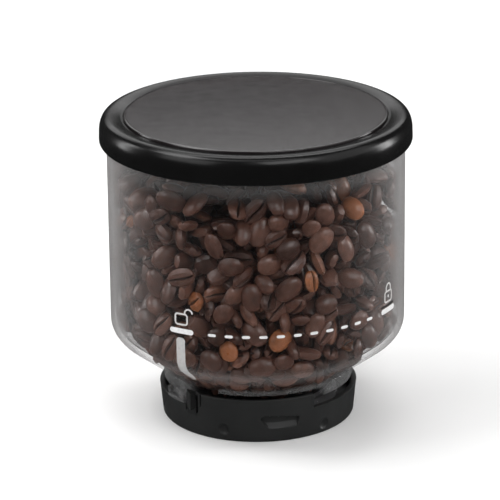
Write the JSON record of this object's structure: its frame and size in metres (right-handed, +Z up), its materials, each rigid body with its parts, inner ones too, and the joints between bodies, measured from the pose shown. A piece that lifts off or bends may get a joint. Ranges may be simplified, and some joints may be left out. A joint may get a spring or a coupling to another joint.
{
  "type": "coffee grinder bean hopper",
  "caption": "Removable coffee bean hopper: frosted clear round vessel with a cone, black lift-off lid, and black bayonet collar with a rotary shutter gate and a snap catch.",
  "frame": {"origin": "centre of the collar's bottom edge, on the vertical axis", "axes": "+Z up along the hopper's axis; -Y is the front, where the pointer slot and the printed scale are"},
  "size_m": [0.1112, 0.1112, 0.1126],
  "materials": {
    "black_plastic": "fine satin texture",
    "satin_disc": "smooth satin",
    "clear_vessel": null,
    "smoke_plastic": "smoked clear",
    "silicone": "matt grey silicone",
    "steel": "zinc plated",
    "brass": "turned"
  },
  "bodies": {
    "collar": {"collar": "black_plastic", "gate_disc": "black_plastic", "gate_seal": "silicone", "spring_washer": "steel", "catch_spring": "steel", "gate_screw_1": "steel", "gate_screw_2": "steel", "gate_screw_3": "steel", "gate_screw_4": "steel"},
    "hopper": {"hopper_vessel": "clear_vessel", "finger_guard": "smoke_plastic", "pivot_screw": "steel", "pivot_insert": "brass"},
    "lid": {"lid_shell": "black_plastic", "lid_disc": "satin_disc", "lid_inner_plate": "black_plastic", "lid_gasket": "silicone", "lid_screw_1": "steel", "lid_screw_2": "steel", "lid_screw_3": "steel"},
    "catch": {"catch": "black_plastic"}
  },
  "joints": [
    {"name": "hopper_turn", "type": "hinge", "parent": "collar", "child": "hopper", "pos_m": [0, 0, 0.01], "axis": [0, 0, 1], "range_deg": [-84, 0]},
    {"name": "lid_lift", "type": "slide", "parent": "hopper", "child": "lid", "axis": [0, 0, 1], "range_m": [0, 0.06]},
    {"name": "catch_press", "type": "slide", "parent": "collar", "child": "catch", "axis": [0.6724, 0.7402, 0], "range_m": [0, 0.001], "stiffness_N_per_m": 400, "springref_m": -0.001}
  ]
}
